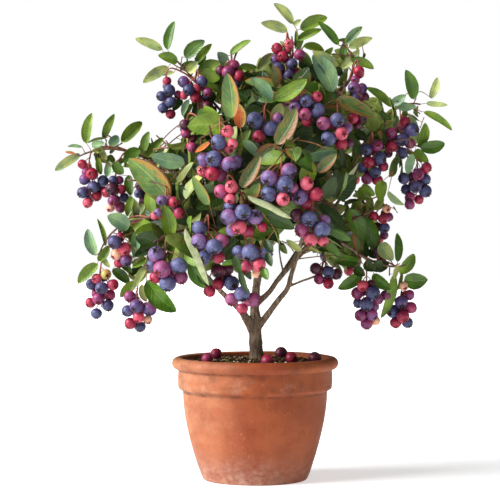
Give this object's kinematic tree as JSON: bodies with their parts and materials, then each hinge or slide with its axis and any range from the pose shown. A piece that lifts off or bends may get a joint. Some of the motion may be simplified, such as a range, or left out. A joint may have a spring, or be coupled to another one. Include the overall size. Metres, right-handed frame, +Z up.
{
  "type": "potted serviceberry shrub",
  "caption": "Small fruiting serviceberry shrub with a forked woody stem, oval leaves and hanging bunches of berries, growing in a round clay pot.",
  "frame": {"origin": "centre of the pot's flat underside, on the surface that the pot stands on", "axes": "+Z is up; -Y is the front, the side that the picture shows; +X is the viewer's right"},
  "size_m": [0.4831, 0.4226, 0.5708],
  "materials": {
    "clay": "matte unglazed terracotta",
    "soil": "matte potting soil",
    "bark": "matte bark",
    "foliage": "satin leaves, waxy berries"
  },
  "bodies": {
    "root": {"pot": "clay", "soil": "soil", "trunk": "bark", "bough_centre": "bark", "bough_left": "bark", "bough_right_outer": "bark", "bough_right_inner": "bark", "bough_twig_right": "bark", "bough_low_right": "bark", "bough_right_upper": "bark", "bough_left_upper": "bark", "bough_left_mid": "bark", "bough_lower_left": "bark", "bough_low_left_front": "bark", "bough_front_left": "bark", "bough_front": "bark", "bough_front_right": "bark", "bough_centre_front": "bark", "bough_upper_front": "bark", "bough_upper_right_front": "bark", "bough_top": "bark", "bough_top_left": "bark", "bough_top_mid": "bark", "bough_back_top": "bark", "bough_back_left": "bark", "bough_back_right": "bark", "bough_back_low_left": "bark", "bough_back_low_right": "bark", "bough_back": "bark", "leaves_centre": "foliage", "leaves_left": "foliage", "leaves_right_outer": "foliage", "leaves_right_inner": "foliage", "leaves_twig_right": "foliage", "leaves_low_right": "foliage", "leaves_right_upper": "foliage", "leaves_left_upper": "foliage", "leaves_left_mid": "foliage", "leaves_lower_left": "foliage", "leaves_low_left_front": "foliage", "leaves_front_left": "foliage", "leaves_front": "foliage", "leaves_front_right": "foliage", "leaves_centre_front": "foliage", "leaves_upper_front": "foliage", "leaves_upper_right_front": "foliage", "leaves_top": "foliage", "leaves_top_left": "foliage", "leaves_top_mid": "foliage", "leaves_back_top": "foliage", "leaves_back_left": "foliage", "leaves_back_right": "foliage", "leaves_back_low_left": "foliage", "leaves_back_low_right": "foliage", "leaves_back": "foliage"}
  },
  "joints": []
}
